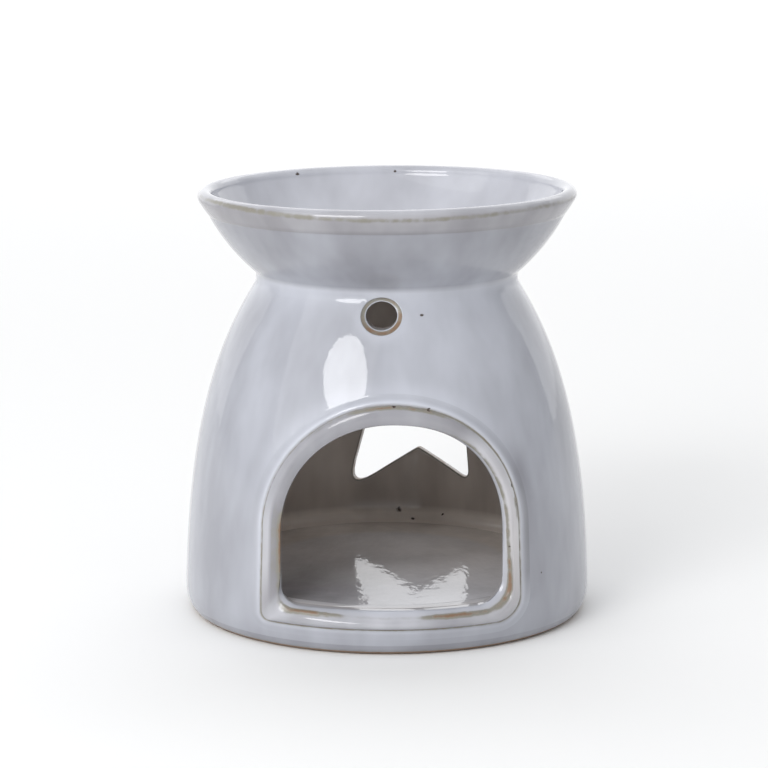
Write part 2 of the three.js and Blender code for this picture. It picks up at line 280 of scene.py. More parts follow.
# The softboxes: name, point aimed at, azimuth from the front and elevation in degrees, distance,
# width and height, the property with its radiance, and shape
MIDDLE, BEHIND = (0, 0, mm(55)), (0, 1.9, 0)
SOFTBOXES = (
    ("key_softbox", MIDDLE, -30.6, 30.5, 1.0, (0.5, 0.43), "key", "ELLIPSE"),
    ("fill_panel", MIDDLE, -45, 29, 1.6, (1.8, 1.3), "fill", "RECTANGLE"),
    ("side_panel", MIDDLE, 50, 55, 1.6, (1.2, 1.2), "side", "RECTANGLE"),
    ("lit_backdrop", MIDDLE, 180, 18, 4.0, (12.0, 3.0), "back", "RECTANGLE"),
    ("sweep_light", BEHIND, 180, 90, 1.5, (3.2, 2.6), "sweep", "RECTANGLE"))

# The camera: focal length and sensor in millimetres, then in metres the nearest and farthest
# that it shows, its place and its aim
FOCAL_LENGTH, SENSOR = 138.44, 36
NEAR, FAR = 0.01, 50
CAMERA_PLACE = (mm(-0.77), mm(-740.4), mm(199.65))
CAMERA_AIM = (mm(-0.77), 0, mm(57.29))

# The paper: half its side in metres, and the squares along it
PAPER_HALF, PAPER_SQUARES = 6, 24


def linear(hex_colour):
    """An sRGB hex colour in linear light, with full alpha."""
    shares = [int(hex_colour[i:i + 2], 16) / 255 for i in (1, 3, 5)]
    return [c / 12.92 if c <= 0.04045 else ((c + 0.055) / 1.055) ** 2.4 for c in shares] + [1.0]


def colour(name, description, hex_colour):
    """A colour property with its default given as sRGB hex."""
    return FloatVectorProperty(
        name=name, description=description, default=linear(hex_colour), size=4,
        min=0, max=1, subtype="COLOR")


def length(name, description, size):
    """A length property with its default in metres."""
    return FloatProperty(name=name, description=description, default=size, unit="LENGTH")


def factor(name, description, share):
    """A share of something, as a property."""
    return FloatProperty(name=name, description=description, default=share, subtype="FACTOR")


def rotation(name, description, degrees):
    """An angle property with its default given in degrees."""
    return FloatProperty(
        name=name, description=description, default=math.radians(degrees), subtype="ANGLE")


def number(name, description, value):
    """A property without a unit."""
    return FloatProperty(name=name, description=description, default=value)


class BellShape(PropertyGroup):
    """The bell and the base plate it stands on."""

    wall: length("Wall", "Thickness of the cast wall", mm(4.5))
    foot_radius: length("Foot radius", "Where the foot meets the table", mm(48.6))
    foot_edge: length("Foot edge", "Height of the seam between base plate and bell", bell_low.z)
    foot_ring: length("Foot ring", "Width of the ring that touches the table", mm(8))
    foot_recess: length("Foot hollow", "Depth of the hollow under the floor", mm(5))
    recess_taper: length("Hollow taper", "How far the hollow narrows towards its top", mm(2))
    bare_height: length("Bare foot", "Height to which the glaze was wiped off the foot", mm(0.9))
    floor_height: length("Floor", "Edge of the chamber floor above the table", plate_high.z)
    floor_crown: length("Floor crown", "Rise of the floor's middle over its edge", mm(0.06))
    cove: length("Cove", "Fillet between wall and floor", mm(4.2))
    cove_seat: length("Cove seat", "Rebate that the toe of the cove sits in", mm(0.8))
    fit_gap: length("Fit", "Clearance of the hidden plug", mm(0.3))
    belly_radius: length("Belly radius", "Widest point of the bell", bell_high.x)
    belly_height: length("Belly height", "Where the rounded foot becomes the side", mm(6))
    lean: length("Lean", "How far the side leans in below the shoulder", mm(1))
    side_pull: factor("Side pull", "Share of the rise over which the side stays upright", 0.652)
    shoulder_pull: factor(
        "Shoulder pull", "Share of the rise over which the shoulder is straight", 0.121)
    shoulder_slope: number(
        "Shoulder slope", "Radius lost for each unit of rise under the neck", 0.584)
    neck_radius: length("Neck radius", "Narrowest point", mm(33.2))
    neck_height: length("Neck height", "Seat of the dish", bell_high.z)
    neck_land: length("Neck land", "Short upright band under the seat", mm(1.6))
    stray: length("Stray", "How far the pot strays from round", mm(0.16))
    rim_tilt: length("Rim tilt", "How far the rim stands up on the right", mm(0.35))


class DishShape(PropertyGroup):
    """The flared melting dish."""

    rim_height: length("Rim height", "Top of the lip", dish_high.z)
    rim_radius: length("Rim radius", "Outside of the lip", dish_high.x)
    lip_radius: length("Lip", "Roll of the lip", mm(1.9))
    band: length("Rim band", "Thickened band, measured down from the top", mm(6.1))
    band_step: length("Band step", "How far the band stands out of the flare", mm(0.35))
    band_draft: length("Band draft", "How far the flare lies inside the rim at the band", mm(2.25))
    fillet: length("Neck fillet", "Hollow where the dish grows out of the neck", mm(1.5))
    swell: length("Swell", "How far the flare bows out of a straight cone", mm(0.85))
    floor: length("Dish floor", "Thickness under the wax", mm(4.2))
    bowl_radius: length("Bowl flat", "Radius of the flat of the bowl", mm(24))
    bowl_floor_pull: factor(
        "Bowl floor pull", "Share of the bowl's width over which it stays level", 0.45)
    bowl_side_lean: factor(
        "Bowl side lean", "Share of the width that the upper side leans in", 0.17)
    bowl_side_pull: factor("Bowl side pull", "Share of the depth over which it leans", 0.5)
    register: length("Register", "Depth of the spigot that centres the dish in the neck", mm(1.2))


class DoorShape(PropertyGroup):
    """The doorway and its raised surround."""

    width: length("Width", "Clear width of the doorway", mm(53.4))
    sill: length("Sill", "Sill above the table", mm(11.4))
    crown: length("Crown", "Top of the arch", mm(55.6))
    corner_left: length("Left corner", "Radius of the opening's lower left corner", mm(4.5))
    corner_right: length("Right corner", "Radius of the opening's lower right corner", mm(6.5))
    ridge_left: length("Left ridge corner", "Radius of the ridge's lower left corner", mm(2))
    ridge_right: length("Right ridge corner", "Radius of the ridge's lower right corner", mm(6))
    shoulder: factor("Shoulder", "How square the arch is; 0.55 is a half circle", 0.61)
    ridge_shoulder: factor("Ridge shoulder", "How square the ridge's arch is", 0.58)
    rise: length("Rise", "How far the ridge's crown stands over an even width", mm(0.5))
    sway: length("Sway", "How far the ridge was laid to the left of the opening", mm(0.3))
    slump: factor("Slump", "How much rounder the arch is on the left", 0.045)
    splay: length("Splay", "How far the ridge's sides spread towards the sill", mm(0.45))
    set_back: length(
        "Set back", "How far the finished reveal stands back from the cast one", mm(0.25))
    bank: length("Bank", "Bank of clay outside the ridge, over the wall", mm(0.75))
    low_bank: length("Low bank", "The same bank along the sill", mm(0.22))
    turn: rotation("Turn", "How far the doorway is turned to the right", 1.6)
    ridge_offset: length("Surround width", "Opening to ridge", mm(4.8))
    ramp: length("Ramp", "Ridge to the toe on the wall", mm(2.4))
    proud: length("Proud", "Ridge above the wall", mm(1.5))
    lining: length("Lining", "Thickness of the reveal", mm(1.6))


class CutOutShape(PropertyGroup):
    """The vent and the star."""

    vent_drop: length("Vent drop", "Vent's centre below the seat of the dish", mm(5.3))
    vent_bore: length("Vent bore", "Radius of the vent", mm(3.8))
    vent_mouth: length("Vent mouth", "Radius at the outer edge of the mouth", mm(5.3))
    vent_flat: factor("Vent flatness", "Height of the hand-cut vent as a share of its width", 0.86)
    vent_depth: length("Mouth depth", "Depth of the mouth", mm(1.2))
    vent_turn: rotation("Vent turn", "How far the vent is turned to the right", -2.3)
    vent_tilt: rotation("Vent tilt", "How far the vent points up", 1)
    star_height: length("Star height", "Centre of the star", mm(43.1))
    star_reach: length("Star reach", "Centre to a point before rounding", mm(28.3))
    star_notch: length("Star notch", "Centre to an inner corner", mm(13.6))
    notch_round: length("Notch round", "Length taken off each side of an inner corner", mm(0.7))
    star_turn: rotation("Star turn", "How far the star is turned to the right of the back", 8.1)
    star_tilt: rotation("Star tilt", "How far the star leans to the left", 3)
    edge_round: length("Edge round", "Rounding that the glaze leaves on a cut edge", mm(0.6))


class GlazeLook(PropertyGroup):
    """Colours of the glaze and the clay."""

    pale: colour("Pale glaze", "Where the glaze lies thick and milky", "#c7cad3")
    deep: colour("Deep glaze", "Where the glaze is clearer and greyer", "#94959c")
    olive: colour("Olive break", "Where the glaze begins to run thin", "#8a877e")
    brown: colour("Brown break", "Clay that shows through the thinnest glaze", "#846a54")
    wash: colour("Chamber wash", "Thin wash of glaze inside the chamber", "#90867f")
    pool: colour("Chamber pool", "The same glaze where it pooled in the cove", "#f3eae1")
    speck: colour("Iron spot", "Iron that burned through the glaze", "#43352f")
    clay: colour("Bare clay", "Unglazed stoneware at the foot", "#8f8074")
    paper: colour("Paper", "The studio's floor", "#f6f6f5")


class StageLook(PropertyGroup):
    """Light of the studio: the room's tint, then each light's radiance."""

    tint: colour("Room tint", "Colour of the white room", "#fbfcff")
    sky: number("Room", "Light of the white room", 0.6)
    key: number("Key", "Softbox at the front left", 6.8)
    fill: number("Fill", "Large panel on the left", 0.88)
    side: number("Side", "High panel on the right", 0.12)
    back: number("Back", "Lit backdrop behind the warmer", 0.72)
    sweep: number("Sweep", "Light over the paper behind the warmer", 0.75)


class WarmerSettings(PropertyGroup):
    """Everything a user may change."""

    bell: PointerProperty(type=BellShape)
    dish: PointerProperty(type=DishShape)
    door: PointerProperty(type=DoorShape)
    cuts: PointerProperty(type=CutOutShape)
    glaze: PointerProperty(type=GlazeLook)
    stage: PointerProperty(type=StageLook)


# Curves, as arrays of points


def bezier(controls, count):
    """Points along a Bezier curve of any degree."""
    share = np.linspace(0, 1, count)[:, None]
    points = [np.array(control, float) + 0 * share for control in controls]
    while len(points) > 1:
        points = [a * (1 - share) + b * share for a, b in zip(points, points[1:])]
    return points[0]


def arc(centre, radii, start, end, count):
    """Points along an arc of an ellipse, between two angles in degrees."""
    turn = np.radians(np.linspace(start, end, count))
    return np.array(centre) + np.array(radii) * np.stack([np.cos(turn), np.sin(turn)], 1)


def lengths(points):
    """Length of the path up to each of its points."""
    steps = np.linalg.norm(np.diff(points, axis=0), axis=1)
    return np.concatenate([[0], np.cumsum(steps)])


def even(points, count):
    """The same path at equal steps."""
    run = lengths(points)
    places = np.linspace(0, run[-1], count)
    return np.stack([np.interp(places, run, axis) for axis in points.T], 1)


def outward(loop):
    """Unit normals of a closed loop, pointing out of it."""
    along = np.roll(loop, -1, axis=0) - np.roll(loop, 1, axis=0)
    turn = np.sign(np.sum(loop[:, 0] * along[:, 1]))
    across = turn * np.stack([along[:, 1], -along[:, 0]], 1)
    return across / np.linalg.norm(across, axis=1)[:, None]


def rounded(corners, trims, count):
    """A closed loop through corners, each rounded over a trim length, at equal steps."""
    corners = np.array(corners)
    pieces = []
    for before, corner, after, trim in zip(
            np.roll(corners, 1, axis=0), corners, np.roll(corners, -1, axis=0), trims):
        ends = [corner + trim * (end - corner) / np.linalg.norm(end - corner)
                for end in (before, after)]
        pieces.append(bezier([ends[0], corner, ends[1]], EDGE_ROWS))
    loop = np.concatenate(pieces + [pieces[0][:1]])
    return even(loop, count + 1)[:-1]


def bell_outside(bell):
    """Radius and height up the outside of the bell, from the table to the seat of the dish."""
    neck_foot = bell.neck_height - bell.neck_land
    rise = neck_foot - bell.belly_height
    foot = arc(
        (bell.foot_radius, bell.belly_height),
        (bell.belly_radius - bell.foot_radius, bell.belly_height), -90, 0, CURVE_POINTS)
    side = bezier(
        [(bell.belly_radius, bell.belly_height),
         (bell.belly_radius - bell.lean, bell.belly_height + bell.side_pull * rise),
         (bell.neck_radius + bell.shoulder_slope * bell.shoulder_pull * rise,
          neck_foot - bell.shoulder_pull * rise),
         (bell.neck_radius, neck_foot)], 4 * CURVE_POINTS)
    return np.concatenate([foot, side[1:], [(bell.neck_radius, bell.neck_height)]])


def bell_inside(bell):
    """Radius and height up the inside of the bell, from the toe of the cove to the neck."""
    outside = bell_outside(bell)
    side = outside[(outside[:, 1] >= bell.belly_height)][:-1]
    along = np.gradient(side, axis=0)
    along /= np.linalg.norm(along, axis=1)[:, None]
    inner = side + bell.wall * np.stack([-along[:, 1], along[:, 0]], 1)
    cove_top = bell.floor_height + bell.cove
    inner = inner[inner[:, 1] > cove_top]
    toe = bell.belly_radius - bell.wall - bell.cove
    cove = arc((toe, cove_top), (inner[0, 0] - toe, bell.cove), -90, 0, CURVE_POINTS // 4)
    bore = bell.neck_radius - bell.wall
    top = [(bore, bell.neck_height - bell.neck_land), (bore, bell.neck_height)]
    return np.concatenate([cove, inner, top])


def radius_at(profile, height):
    """Radius of a turned profile at a height."""
    return np.interp(height, profile[:, 1], profile[:, 0])


# Patches of mesh


class Patch:
    """Points and faces of part of a piece, with the marks of its glaze at each point."""

    def __init__(self, points, faces, **marks):
        self.points = np.array(points, float)
        self.faces = faces
        self.marks = {
            name: np.broadcast_to(np.array(marks.get(name, usual), float), len(self.points))
            for name, usual in MARKS.items()}


def ring_faces(rows, columns):
    """Quads between closed rings of points, ring after ring."""
    return [
        (row * columns + column, row * columns + (column + 1) % columns,
         (row + 1) * columns + (column + 1) % columns, (row + 1) * columns + column)
        for row in range(rows - 1) for column in range(columns)]


def ring_patch(rings, **marks):
    """A patch from rings of equally many points."""
    rings = np.array(rings)
    rows, columns = rings.shape[:2]
    spread = {name: np.broadcast_to(np.array(mark, float), (rows, columns)).ravel()
              for name, mark in marks.items()}
    return Patch(rings.reshape(-1, 3), ring_faces(rows, columns), **spread)


def column_angles():
    """Angles of the meshes' upright lines."""
    return SEAM + 2 * math.pi * np.arange(COLUMNS) / COLUMNS


def placed(radius, angle, height):
    """Points from radius, angle from the front and height."""
    radius, angle, height = np.broadcast_arrays(radius, angle, height)
    return np.stack([radius * np.sin(angle), -radius * np.cos(angle), height], -1)


def turned(profile, **marks):
    """A profile of radius and height turned about Z."""
    profile = np.array(profile)
    rings = placed(profile[:, :1], column_angles()[None], profile[:, 1:])
    return ring_patch(rings, **marks)


def upright(*values):
    """Marks for the rows of a patch, the same all along each row."""
    return np.array(values, float)[:, None]


def nearest(points, others):
    """Distance from each point to the nearest of some others."""
    squares = (points ** 2).sum(1)[:, None] + (others ** 2).sum(1) - 2 * points @ others.T
    return np.sqrt(np.maximum(squares.min(1), 0))


def within(points, loop):
    """Which points lie in a closed loop, by the edges that a level ray from them crosses."""
    x, y = points[:, :1], points[:, 1:]
    (ax, ay), (bx, by) = loop.T, np.roll(loop, -1, axis=0).T
    rise = np.where(by == ay, 1, by - ay)
    crossed = ((ay > y) != (by > y)) & (x < ax + (y - ay) * (bx - ax) / rise)
    return crossed.sum(1) % 2 == 1


def holed_wall(profile, rows, cut_edges):
    """A turned wall with cut-outs: a grid over the unrolled wall, and Delaunay triangles that
    keep the edge of each cut-out. Each edge is a loop of points on the wall."""
    run = lengths(profile)
    reach = profile[:, 0].mean()
    step = run[-1] / (rows - 1)
    grid_angle, grid_run = np.meshgrid(
        SEAM + 2 * math.pi * np.arange(COLUMNS + 1) / COLUMNS, np.linspace(0, run[-1], rows))
    grid = np.stack([grid_angle.ravel() * reach, grid_run.ravel()], 1)
    edges, flat, loops = [], [], []
    margin = step * END_MARGIN
    clear = step * EDGE_MARGIN
    for points in cut_edges:
        angle = np.arctan2(points[:, 0], -points[:, 1])
        angle = (angle - SEAM) % (2 * math.pi) + SEAM
        loop = np.stack([angle * reach, np.interp(points[:, 2], profile[:, 1], run)], 1)
        loops.append(loop)
        spacer = loop + outward(loop) * clear
        near = np.linalg.norm(grid[:, None] - spacer[None, ::2], axis=2).min(1) < clear
        inner = (grid[:, 1] > margin) & (grid[:, 1] < run[-1] - margin)
        grid = grid[~((near | within(grid, spacer)) & inner)]
        spacer = spacer[(spacer[:, 1] > margin) & (spacer[:, 1] < run[-1] - margin)]
        start = sum(map(len, flat))
        edges += [(start + i, start + (i + 1) % len(loop)) for i in range(len(loop))]
        flat += [loop, spacer]
    flat = np.concatenate(flat + [grid])
    flat_points, _, faces, *_ = delaunay_2d_cdt(
        [Vector(point) for point in flat], edges, [], 0, WELD)
    flat = np.array([tuple(point) for point in flat_points])
    faces = np.array(faces)
    sides = flat[faces[:, 1:]] - flat[faces[:, :1]]
    faces = faces[np.abs(np.cross(sides[:, 0], sides[:, 1])) > WELD ** 2]
    middles = flat[faces].mean(1)
    for loop in loops:
        keep = ~within(middles, loop)
        faces, middles = faces[keep], middles[keep]
    heights = np.interp(flat[:, 1], run, profile[:, 1])
    radii = np.interp(flat[:, 1], run, profile[:, 0])
    return placed(radii, flat[:, 0] / reach, heights), faces.tolist()


class Cut:
    """A straight cut through the wall: its origin, its axes across and up, and its way out."""

    def __init__(self, turn, facing, tilt=0.0, centre=None):
        level = np.array([math.sin(turn), -facing * math.cos(turn), 0])
        up = np.array([0, 0, 1.0])
        self.across = np.array([math.cos(turn), facing * math.sin(turn), 0])
        self.out = math.cos(tilt) * level + math.sin(tilt) * up
        self.up = math.cos(tilt) * up - math.sin(tilt) * level
        self.origin = np.zeros(3) if centre is None else centre[0] * level + centre[1] * up

    def meet(self, profile, outline, lift=0.0):
        """Where lines through an outline, along the cut, meet a turned wall or its offset."""
        base = self.origin + outline[:, :1] * self.across + outline[:, 1:] * self.up
        low, high = (np.full((len(outline), 1), end) for end in CUT_REACH)
        for _ in range(HALVINGS):
            middle = (low + high) / 2
            points = base + middle * self.out
            inside = (np.hypot(points[:, 0], points[:, 1])
                      < radius_at(profile, points[:, 2]) + lift)[:, None]
            low, high = np.where(inside, middle, low), np.where(inside, high, middle)
        return base + low * self.out


def door_outline(door, offset):
    """The doorway's outline widened by an offset, anticlockwise from the right end of the sill:
    a corner, a side, the arch, a side, a corner and the sill."""
    half = door.width / 2 + offset
    sill = door.sill - offset
    spring = door.crown - door.width / 2
    share = min(max(offset / door.ridge_offset, 0), 1)
    crown = spring + half + door.rise * share
    pull = half * (door.shoulder + (door.ridge_shoulder - door.shoulder) * share)
    slump = pull - half * door.slump
    beyond = max(offset - door.ridge_offset, 0)
    left = door.corner_left + (door.ridge_left - door.corner_left) * share + beyond
    right = door.corner_right + (door.ridge_right - door.corner_right) * share + beyond
    parts = [
        arc((half - right, sill + right), (right, right), -90, 0, CORNER_POINTS),
        np.linspace((half, sill + right), (half, spring), CORNER_POINTS),
        bezier([(half, spring), (half, spring + pull), (pull, crown), (0, crown)], ARCH_POINTS),
        bezier([(0, crown), (-slump, crown), (-half, spring + slump), (-half, spring)],
               ARCH_POINTS),
        np.linspace((-half, spring), (-half, sill + left), CORNER_POINTS),
        arc((left - half, sill + left), (left, left), 180, 270, CORNER_POINTS),
        np.linspace((left - half, sill), (half - right, sill), SILL_POINTS)]
    outline = np.concatenate([part[:-1] for part in parts]) - (door.sway * share, 0)
    splay = door.splay * share * np.clip((spring - outline[:, 1]) / SPLAY_DROP, 0, 1)
    outline[:, 0] += splay * np.clip(outline[:, 0] / (half - SPLAY_EDGE), -1, 1)
    return outline


def door_cut(door):
    """The straight cut that the doorway and its surround share."""
    return Cut(door.turn, 1)


def from_table(table, places, period=None):
    """Levels at some places, from a table of places and levels."""
    return np.interp(places, *np.array(table).T, period=period)


def spot(across, up, place):
    """Strength of a soft spot at points, from its middle and its half widths across and up."""
    middle_across, middle_up, half_across, half_up = place
    away = ((across - middle_across) / half_across) ** 2 + ((up - middle_up) / half_up) ** 2
    return np.exp(-away)


def beside(points, edge, reach):
    """How close points are to an edge: one on it, fading over a reach."""
    return np.exp(-(nearest(points, edge) / reach) ** 2)


def breaks(places, marks, period):
    """How far the glaze runs thin at places along a closed edge, from a list of breaks."""
    total = np.zeros(len(places))
    for centre, half, strength in marks:
        away = np.abs((places - centre + period / 2) % period - period / 2) / half
        total = np.maximum(total, strength * np.clip(BREAK_FADE - away, 0, 1))
    return total


def halo_and_painted_light(points):
    """How much milkier the glaze pooled on the wall beside the surround: more on the left and over
    the arch, where light is also painted, and less on the right, where the drop is painted shade."""
    x, _, z = points.T / mm(1)
    low = from_table(HALO_LOW, z)
    above = from_table(HALO_UP_AND_PAINTED_LIGHT, z) + from_table(HALO_RIGHT_PAINTED_SHADE, x)
    return above * (1 - low) + HALO_SILL * low


def hand_finish(points, bell, dish):
    """Points of a true form moved as a thrown pot strays: a little out of round and level."""
    x, y, z = points.T
    angle = np.arctan2(x, -y)
    wave = sum(share * np.sin(turns * angle + rate * z + start)
               for turns, rate, start, share in HAND_WAVES)
    grow = 1 + bell.stray * wave / bell.belly_radius
    rise = np.clip((z - bell.neck_height) / (dish.rim_height - bell.neck_height), 0, 1)
    z = z + bell.rim_tilt * rise * x / dish.rim_radius
    return np.stack([x * grow, y * grow, z], 1)


def add_piece(context, name, node, patches, materials, is_bare=None):
    """One closed mesh from patches, riding on the body in place of its CAD node."""
    settings = context.scene.warmer
    points = np.concatenate([patch.points for patch in patches])
    starts = np.cumsum([0] + [len(patch.points) for patch in patches])
    faces = [[int(start + corner) for corner in face]
             for start, patch in zip(starts, patches) for face in patch.faces]
    mesh = bpy.data.meshes.new(name)
    mesh.from_pydata(hand_finish(points, settings.bell, settings.dish).tolist(), [], faces)
    for mark in MARKS:
        values = np.concatenate([patch.marks[mark] for patch in patches])
        mesh.attributes.new(mark, "FLOAT", "POINT").data.foreach_set(
            "value", values.astype(np.float32))
    work = bmesh.new()
    work.from_mesh(mesh)
    bmesh.ops.remove_doubles(work, verts=work.verts, dist=WELD)
    bmesh.ops.dissolve_degenerate(work, edges=work.edges, dist=WELD)
    bmesh.ops.recalc_face_normals(work, faces=work.faces)
    if is_bare:
        for face in work.faces:
            face.material_index = int(is_bare(face.calc_center_median()))
    open_edges = sum(not edge.is_manifold for edge in work.edges)
    work.to_mesh(mesh)
    work.free()
    if open_edges:
        raise RuntimeError(f"{name} has {open_edges} open edges")
    mesh.shade_smooth()
    mesh.set_sharp_from_angle(angle=SHARP)
    for material in materials:
        mesh.materials.append(material)
    piece = bpy.data.objects.new(name, mesh)
    context.scene.collection.objects.link(piece)
    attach(piece, "root")
    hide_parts(node)


# Materials


def feed(tree, node, inputs):
    """Values and links into a shader node."""
    for key, value in inputs.items():
        if isinstance(value, bpy.types.NodeSocket):
            tree.links.new(value, node.inputs[key])
        else:
            node.inputs[key].default_value = value


def add_node(tree, kind, output, inputs=None, **settings):
    """One shader node with its settings, values and links. Gives the output that is wanted."""
    node = tree.nodes.new("ShaderNode" + kind)
    for key, value in settings.items():
        setattr(node, key, value)
    feed(tree, node, inputs or {})
    return node.outputs[output]


def new_material(name):
    """A new material, its nodes, its shader and the place of each point on the object."""
    material = bpy.data.materials.new(name)
    material.use_nodes = True
    tree = material.node_tree
    return material, tree, tree.nodes["Principled BSDF"], add_node(tree, "TexCoord", "Object")


def glazed_stoneware(look):
    """Stoneware under a reactive glaze: milky where it is thick, olive and brown where it ran
    thin over an edge, with iron specks, under a hard gloss that ripples slightly. In places its
    milk and thin marks also carry painted light and shade."""
    # To the eye it is a soft cloudy grey with every edge drawn darker, under crisp wet highlights
    name = "Reactive glaze on stoneware"
    if name in bpy.data.materials:
        return bpy.data.materials[name]
    material, tree, shader, place = new_material(name)
    thin, inside, milk, brushed = (
        add_node(tree, "Attribute", "Fac", attribute_name=mark) for mark in MARKS)

    # Clouds that ran down the pot: about 15 mm wide and three times as long
    run = add_node(tree, "Mapping", "Vector", {"Vector": place, "Scale": (1, 1, 0.35)})
    clouds = add_node(tree, "TexNoise", "Fac", {
        "Vector": run, "Scale": 1 / mm(15), "Detail": 3, "Roughness": 0.55})
    clouds = add_node(tree, "MapRange", "Result", {
        "Value": clouds, "From Min": 0.3, "From Max": 0.7, "To Min": -0.28, "To Max": 0.28})
    pooled = add_node(tree, "Math", "Value", {0: milk, 1: clouds}, operation="ADD")
    milky = add_node(tree, "MapRange", "Result", {
        "Value": pooled, "From Min": CLEAREST, "From Max": MILKIEST,
        "To Min": CLEAREST / MILKIEST, "To Max": 1})
    tone = add_node(tree, "Mix", "Result", {
        "Factor": milky, "A": look.deep, "B": look.pale}, data_type="RGBA", clamp_factor=False)
    chamber = add_node(tree, "Mix", "Result", {
        "Factor": milky, "A": look.wash, "B": look.pool}, data_type="RGBA")
    tone = add_node(tree, "Mix", "Result", {
        "Factor": inside, "A": tone, "B": chamber}, data_type="RGBA")

    # Breaks along the edges, and painted shade set through the same mark, ragged over about 2 mm:
    # first olive, then brown
    ragged = add_node(tree, "TexNoise", "Fac", {
        "Vector": place, "Scale": 1 / mm(2.2), "Detail": 2})
    ragged = add_node(tree, "MapRange", "Result", {
        "Value": ragged, "From Min": 0.25, "From Max": 0.75, "To Min": 0.55, "To Max": 1.15})
    broken = add_node(tree, "Math", "Value", {0: thin, 1: ragged}, operation="MULTIPLY")
    for start, end, shown in ((0.15, 0.5, look.olive), (0.5, 0.95, look.brown)):
        share = add_node(tree, "MapRange", "Result", {
            "Value": broken, "From Min": start, "From Max": end},
            interpolation_type="SMOOTHSTEP")
        tone = add_node(tree, "Mix", "Result", {
            "Factor": share, "A": tone, "B": shown}, data_type="RGBA")

    # Iron spots about 1 mm wide, a few known ones and small ones some 20 mm apart in the clay
    cell = mm(20)
    grains = add_node(tree, "TexVoronoi", "Distance", {"Vector": place, "Scale": 1 / cell})
    spotted = add_node(tree, "MapRange", "Result", {
        "Value": grains, "From Min": mm(0.3) / cell, "From Max": mm(0.15) / cell},
        interpolation_type="SMOOTHSTEP")
    uneven = add_node(tree, "TexNoise", "Color", {"Vector": place, "Scale": 1 / mm(0.9)})
    blotched = add_node(tree, "VectorMath", "Vector", {
        0: uneven, 1: [mm(1)] * 3, 2: place}, operation="MULTIPLY_ADD")
    for *spot_place, radius in IRON_SPOTS:
        away = add_node(tree, "VectorMath", "Value", {
            0: blotched, 1: [mm(axis + 0.5) for axis in spot_place]}, operation="DISTANCE")
        burned = add_node(tree, "MapRange", "Result", {
            "Value": away, "From Min": mm(1.2 * radius), "From Max": mm(0.5 * radius)},
            interpolation_type="SMOOTHSTEP")
        spotted = add_node(tree, "Math", "Value", {0: spotted, 1: burned}, operation="MAXIMUM")
    tone = add_node(tree, "Mix", "Result", {
        "Factor": spotted, "A": tone, "B": look.speck}, data_type="RGBA")

    # The gloss: ripples some 6 mm across and a few hundredths of a millimetre high, and over
    # them the brushed peel of the chamber's thin glaze, about 2 mm wide and 4 mm long
    ripple = add_node(tree, "TexNoise", "Fac", {"Vector": place, "Scale": 1 / mm(6), "Detail": 1})
    strokes = add_node(tree, "Mapping", "Vector", {"Vector": place, "Scale": (1, 0.5, 1)})
    peel = add_node(tree, "TexNoise", "Fac", {"Vector": strokes, "Scale": 1 / mm(2), "Detail": 2})
    waves = add_node(tree, "Bump", "Normal", {
        "Height": ripple, "Strength": 0.5, "Distance": mm(0.06)})
    bump = add_node(tree, "Bump", "Normal", {
        "Height": peel, "Strength": brushed, "Distance": mm(0.08), "Normal": waves})
    gloss = add_node(tree, "MapRange", "Result", {
        "Value": broken, "From Min": 0.2, "From Max": 1, "To Min": 0.05, "To Max": 0.5})
    feed(tree, shader, {"Base Color": tone, "Roughness": gloss, "Normal": bump, "IOR": 1.52})
    return material


def bare_stoneware(look):
    """Unglazed stoneware: fired sandy clay, rough and matt, with fine grog in it."""
    # To the eye it is dull brown-grey and sandy, without a highlight
    material, tree, shader, place = new_material("Bare stoneware")
    grog = add_node(tree, "TexNoise", "Fac", {
        "Vector": place, "Scale": 1 / mm(1.2), "Detail": 4, "Roughness": 0.6})
    tone = add_node(tree, "Mix", "Result", {
        "Factor": grog, "A": look.clay, "B": look.brown}, data_type="RGBA")
    bump = add_node(tree, "Bump", "Normal", {
        "Height": grog, "Strength": 0.6, "Distance": mm(0.15)})
    feed(tree, shader, {"Base Color": tone, "Normal": bump, "Roughness": 0.85, "IOR": 1.5})
    return material


def studio_paper(look):
    """Matt white background paper with a faint tooth."""
    # To the eye it is an even white that takes a soft shadow and no highlight
    material, tree, shader, place = new_material("White background paper")
    tooth = add_node(tree, "TexNoise", "Fac", {"Vector": place, "Scale": 1 / mm(2)})
    bump = add_node(tree, "Bump", "Normal", {
        "Height": tooth, "Strength": 0.1, "Distance": mm(0.1)})
    feed(tree, shader, {"Normal": bump, "Base Color": look.paper, "Roughness": 0.9})
    return material


# Pieces


